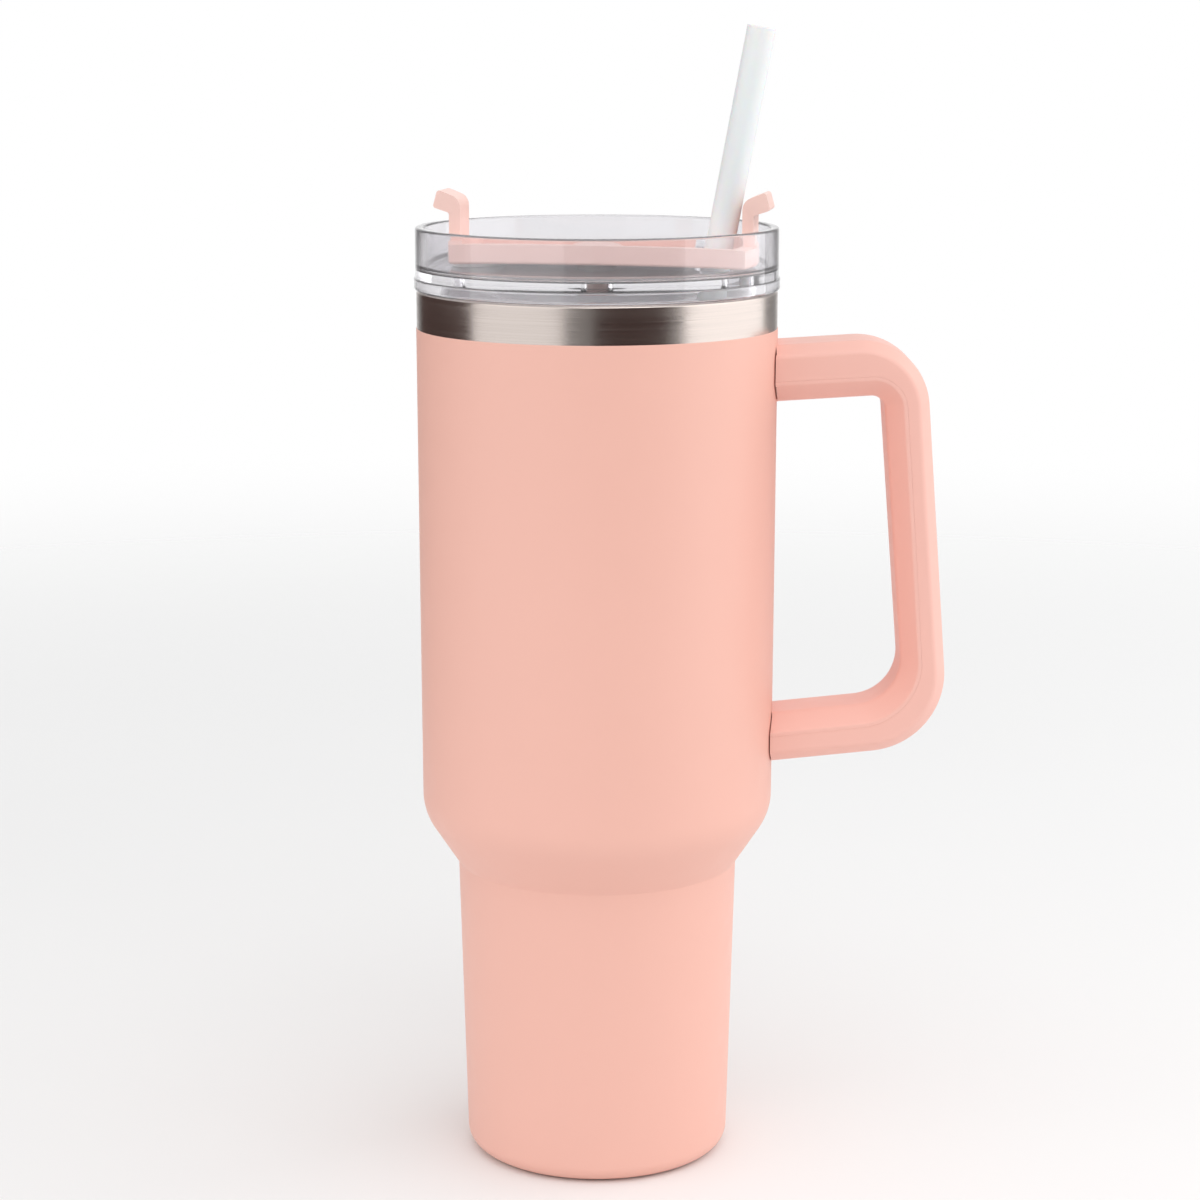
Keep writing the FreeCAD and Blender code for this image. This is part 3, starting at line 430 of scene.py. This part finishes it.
def handle_lines():
    """The handle's outer line and its finger line, from the upper arm round to the lower one."""
    start = MOUTH_RADIUS - ARM_BURIED
    finger = (TOP_REACH - GRIP_TOP, LOW_REACH - GRIP_LOW)
    lines = []
    for top_x, low_x, down, up, rounds in (
            (TOP_REACH, LOW_REACH, 0, 0, OUTER_ROUNDS),
            (*finger, TOP_ARM, LOW_ARM, FINGER_ROUNDS)):
        lines.append(handle_line([
            (start, arm_height(HANDLE_TOP - down, TOP_RISE, TOP_REACH, start)),
            (top_x, arm_height(HANDLE_TOP - down, TOP_RISE, TOP_REACH, top_x)),
            (low_x, arm_height(HANDLE_FOOT + up, FOOT_RISE, LOW_REACH, low_x)),
            (start, arm_height(HANDLE_FOOT + up, FOOT_RISE, LOW_REACH, start)),
        ], rounds, BEND_STEPS))
    return lines


def wall_radius(height):
    """The cup's upper wall, which narrows a little toward the shoulder."""
    share = (height - SHOULDER_HEIGHT) / (COAT_HEIGHT - SHOULDER_HEIGHT)
    return SHOULDER_RADIUS + (MOUTH_RADIUS - SHOULDER_RADIUS) * share


def swept(name, section):
    """Sweeps a section round the handle. section gives (distance in from the outer line, depth) corners."""
    shape = bmesh.new()
    rings = []
    outer, finger = handle_lines()
    for out, inside in zip(outer, finger):
        across = inside - out
        ring = []
        for distance, depth in arcs(section(across.length), EDGE_STEPS):
            spot = out + across.normalized() * distance
            ring.append([spot.x, depth, spot.y])
        rings.append(ring)
    for ring in (rings[0], rings[-1]):
        for corner in ring:
            corner[0] = math.sqrt((wall_radius(corner[2]) + HANDLE_GAP) ** 2 - corner[1] ** 2)
    made = [[shape.verts.new([length * MM for length in corner]) for corner in ring] for ring in rings]
    for ring, after in zip(made, made[1:]):
        for step in range(len(ring)):
            onward = (step + 1) % len(ring)
            shape.faces.new((ring[step], ring[onward], after[onward], after[step]))
    shape.faces.new(made[0])
    shape.faces.new(made[-1])
    bmesh.ops.recalc_face_normals(shape, faces=shape.faces)
    mesh = bpy.data.meshes.new(name)
    shape.to_mesh(mesh)
    shape.free()
    piece = bpy.data.objects.new(name, mesh)
    bpy.context.scene.collection.objects.link(piece)
    return shaded(piece, 50)


def moulding_section(width):
    """The outer moulding: two wide bevels with soft edges, and a flat back against the strip."""
    half, (inward, down), seam = HANDLE_DEPTH / 2, OUTER_BEVEL, width - STRIP_THICK
    return [
        (0, -(half - down), OUTER_EDGE),
        (inward, -half, OUTER_EDGE),
        (seam, -half, SEAM_EDGE),
        (seam, half, SEAM_EDGE),
        (inward, half, OUTER_EDGE),
        (0, half - down, OUTER_EDGE),
    ]


def strip_section(width):
    """The strip that closes the handle on the finger side, with its own wide bevels."""
    half, (inward, down), seam = HANDLE_DEPTH / 2, INNER_BEVEL, width - STRIP_THICK + SEAM
    return [
        (seam, -half, SEAM_EDGE),
        (width - inward, -half, STRIP_EDGE),
        (width, -(half - down), FINGER_EDGE),
        (width, half - down, FINGER_EDGE),
        (width - inward, half, STRIP_EDGE),
        (seam, half, SEAM_EDGE),
    ]


for piece_name, section, node in (
        ("handle_moulding", moulding_section, "handle_shell"),
        ("handle_strip", strip_section, "handle_inner_cover")):
    part = dress(swept(piece_name, section), handle_plastic)
    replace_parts(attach(part, "cup"), node)


# ---------------------------------------------------------------- the lid

def make_clear_lid():
    """The clear moulding: rim, flange on the steel lip, deck and skirt, with its openings."""
    skirt = LINER_MOUTH - SKIRT_GAP
    seat = MOUTH_HEIGHT + SEAT_GAP
    foot = seat - SKIRT_DROP
    deck = MOUTH_HEIGHT + DECK_RISE
    rim = MOUTH_HEIGHT + RIM_RISE
    lid = lathe("clear_lid", [
        (PIVOT_RADIUS, deck - DECK_THICK),
        (skirt - SKIRT_WALL, deck - DECK_THICK, 0.8),
        (skirt - SKIRT_WALL, foot, 0.5),
        (skirt, foot, 0.5),
        (skirt, foot + GASKET_OFFSET, 0.2),
        (skirt - GASKET_SINK, foot + GASKET_OFFSET),
        (skirt - GASKET_SINK, foot + GASKET_OFFSET + GASKET_HEIGHT),
        (skirt, foot + GASKET_OFFSET + GASKET_HEIGHT, 0.2),
        (skirt, seat, 0.3),
        (FLANGE_RADIUS, seat, 0.9),
        (FLANGE_RADIUS, seat + FLANGE_THICK, 0.3),
        (RIM_RADIUS, seat + FLANGE_THICK),
        (RIM_RADIUS, rim, 0.7),
        (RIM_RADIUS - RIM_WALL, rim, 0.7),
        (RIM_RADIUS - RIM_WALL, deck, 2.0),
        (PIVOT_RADIUS, deck),
    ])
    under, over = deck - DECK_THICK * 2, deck + DECK_THICK
    vent = rod("vent_cut", VENT_RADIUS, under, over, VENT_PLACE)
    slot = slab("slot_cut", OPENING_SIZE, OPENING_ROUND, (OPENING_OFFSET, 0), under, over)
    for cutter in (vent, slot):
        cutter.data.transform(cutter.matrix_world)
        cutter.matrix_world = Matrix.Identity(4)
        cutter.data.transform(Matrix.Rotation(LID_TURN, 4, "Z"))
    cut_out(lid, [vent, slot])
    lid.visible_shadow = False
    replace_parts(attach(dress(lid, clear), "lid"), "lid_body")


make_clear_lid()
dress(nodes["lid_gasket"], gasket_silicone)
dress(nodes["pivot_ring"], gasket_silicone)
dress(nodes["cover_pivot"], cover_plastic)
dress(nodes["pivot_retainer"], cover_plastic)
dress(nodes["cover_pad"], gasket_silicone)
soften(dress(nodes["lid_cover"], cover_plastic), 0.35)


# ---------------------------------------------------------------- the straw

def make_straw():
    """The leaning tube, with softly rounded ends, along the line that it slides on."""
    slide = next(joint for joint in frame["joints"] if joint["name"] == "straw_slide")
    line = Vector(slide["axis"]).normalized()
    low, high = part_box("straw")
    lean = math.acos(line.z)
    half = ((high.z - low.z) / MM - 2 * STRAW_RADIUS * math.sin(lean)) / math.cos(lean) / 2
    place = Matrix.Translation((low + high) / 2) @ line.to_track_quat("Z", "Y").to_matrix().to_4x4()
    inside = STRAW_RADIUS - STRAW_WALL
    straw = lathe("straw_tube", [
        (inside, -half, STRAW_LIP),
        (STRAW_RADIUS, -half, STRAW_LIP),
        (STRAW_RADIUS, half, STRAW_LIP),
        (inside, half, STRAW_LIP),
    ], turns=72, place=place)
    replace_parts(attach(dress(straw, straw_plastic), "straw"), "straw")


make_straw()


# ---------------------------------------------------------------- the studio

def aimed(piece, target):
    """Turns a light or camera to face a point."""
    piece.rotation_mode = "QUATERNION"
    piece.rotation_quaternion = (Vector(target) - piece.location).to_track_quat("-Z", "Y")
    return piece


def soft_box(name, bearing, distance, height, size, power):
    """A large square lamp. Bearing 0 is the camera's side and 90 is +X."""
    lamp = bpy.data.lights.new(name, "AREA")
    lamp.shape = "RECTANGLE"
    lamp.size, lamp.size_y = size
    lamp.energy = power
    box = bpy.data.objects.new(name, lamp)
    bpy.context.scene.collection.objects.link(box)
    angle = math.radians(bearing)
    box.location = (distance * math.sin(angle), -distance * math.cos(angle), height)
    box.visible_camera = False
    return aimed(box, (0, 0, height if height < 0.8 else 0.12))


def make_floor():
    """A pale floor that fades out with distance, so that no horizon shows."""
    bpy.ops.mesh.primitive_circle_add(vertices=96, radius=1.5, fill_type="NGON", location=(0, 0, -0.0002))
    floor = bpy.context.object
    floor.name = "studio_floor"
    paint = Finish("floor_paint", (0.86, 0.86, 0.86, 1.0), 0.7)
    paint.tint(every_way(180), 0.985).bump(every_way(3), 0.02)
    tree = paint.tree
    place = tree.nodes.new("ShaderNodeTexCoord")
    reach = tree.nodes.new("ShaderNodeVectorMath")
    reach.operation = "LENGTH"
    fade = tree.nodes.new("ShaderNodeMapRange")
    fade.interpolation_type = "SMOOTHSTEP"
    fade.inputs["From Min"].default_value = 0.35
    fade.inputs["From Max"].default_value = 1.4
    fade.inputs["To Min"].default_value = 1.0
    fade.inputs["To Max"].default_value = 0.0
    tree.links.new(place.outputs["Object"], reach.inputs[0])
    tree.links.new(reach.outputs["Value"], fade.inputs["Value"])
    tree.links.new(fade.outputs["Result"], paint.shader.inputs["Alpha"])
    floor.data.materials.append(paint.material)


def make_dark_card(name, bearing, width):
    """A dark card round the object. Only reflections see it."""
    angle = math.radians(bearing)
    place = (CARD_DISTANCE * math.sin(angle), -CARD_DISTANCE * math.cos(angle), CARD_HEIGHT)
    bpy.ops.mesh.primitive_plane_add(size=1, location=place)
    card = bpy.context.object
    card.name = name
    card.scale = (width, CARD_HEIGHT * 2, 1)
    card.rotation_euler = (math.radians(90), 0, angle)
    black = Finish(name, (0.06, 0.034, 0.03, 1.0), 0.9)
    card.data.materials.append(black.material)
    for ray in ("camera", "diffuse", "transmission", "shadow", "volume_scatter"):
        setattr(card, "visible_" + ray, False)


def make_world():
    """White to look at and straight behind the object; elsewhere it darkens toward the horizon."""
    world = bpy.data.worlds.new("studio")
    bpy.context.scene.world = world
    world.use_nodes = True
    tree = world.node_tree
    sky = tree.nodes["Background"]
    sky.inputs["Color"].default_value = (1, 1, 1, 1)
    path = tree.nodes.new("ShaderNodeLightPath")
    place = tree.nodes.new("ShaderNodeTexCoord")
    split = tree.nodes.new("ShaderNodeSeparateXYZ")
    rise = tree.nodes.new("ShaderNodeMapRange")
    rise.interpolation_type = "SMOOTHSTEP"
    rise.inputs["From Min"].default_value = -0.05
    rise.inputs["From Max"].default_value = 0.75
    rise.inputs["To Min"].default_value = 0.27
    rise.inputs["To Max"].default_value = 0.88
    backdrop = tree.nodes.new("ShaderNodeMapRange")
    backdrop.interpolation_type = "SMOOTHSTEP"
    backdrop.inputs["From Min"].default_value = 0.9
    backdrop.inputs["From Max"].default_value = 0.99
    seen = tree.nodes.new("ShaderNodeMath")
    seen.operation = "MAXIMUM"
    white = tree.nodes.new("ShaderNodeMath")
    white.operation = "MAXIMUM"
    pick = tree.nodes.new("ShaderNodeMix")
    pick.inputs["B"].default_value = 1.0
    tree.links.new(place.outputs["Generated"], split.inputs["Vector"])
    tree.links.new(split.outputs["Z"], rise.inputs["Value"])
    tree.links.new(path.outputs["Is Camera Ray"], seen.inputs[0])
    tree.links.new(path.outputs["Is Transmission Ray"], seen.inputs[1])
    tree.links.new(split.outputs["Y"], backdrop.inputs["Value"])
    tree.links.new(seen.outputs["Value"], white.inputs[0])
    tree.links.new(backdrop.outputs["Result"], white.inputs[1])
    tree.links.new(white.outputs["Value"], pick.inputs["Factor"])
    tree.links.new(rise.outputs["Result"], pick.inputs["A"])
    tree.links.new(pick.outputs["Result"], sky.inputs["Strength"])


def make_camera():
    """A long lens, a little above the lid and tilted down."""
    lens = bpy.data.cameras.new("camera")
    lens.lens = 88.83
    lens.clip_start = 0.01
    camera = bpy.data.objects.new("camera", lens)
    bpy.context.scene.collection.objects.link(camera)
    camera.location = (0.0008, -0.811, 0.317)
    camera.rotation_euler = (math.radians(78.9), 0, 0)
    bpy.context.scene.camera = camera


make_world()
make_floor()
make_dark_card("front_card", 21, 0.36)
make_dark_card("left_card", -113, 0.52)
soft_box("left_box", -57, 1.0, 0.45, (1.5, 1.0), 3.9)
soft_box("right_box", 92, 1.0, 0.5, (1.5, 1.1), 6.6)
soft_box("top_box", 20, 1.0, 1.3, (1.2, 1.2), 6)
make_camera()
bpy.context.scene.view_settings.view_transform = "Standard"
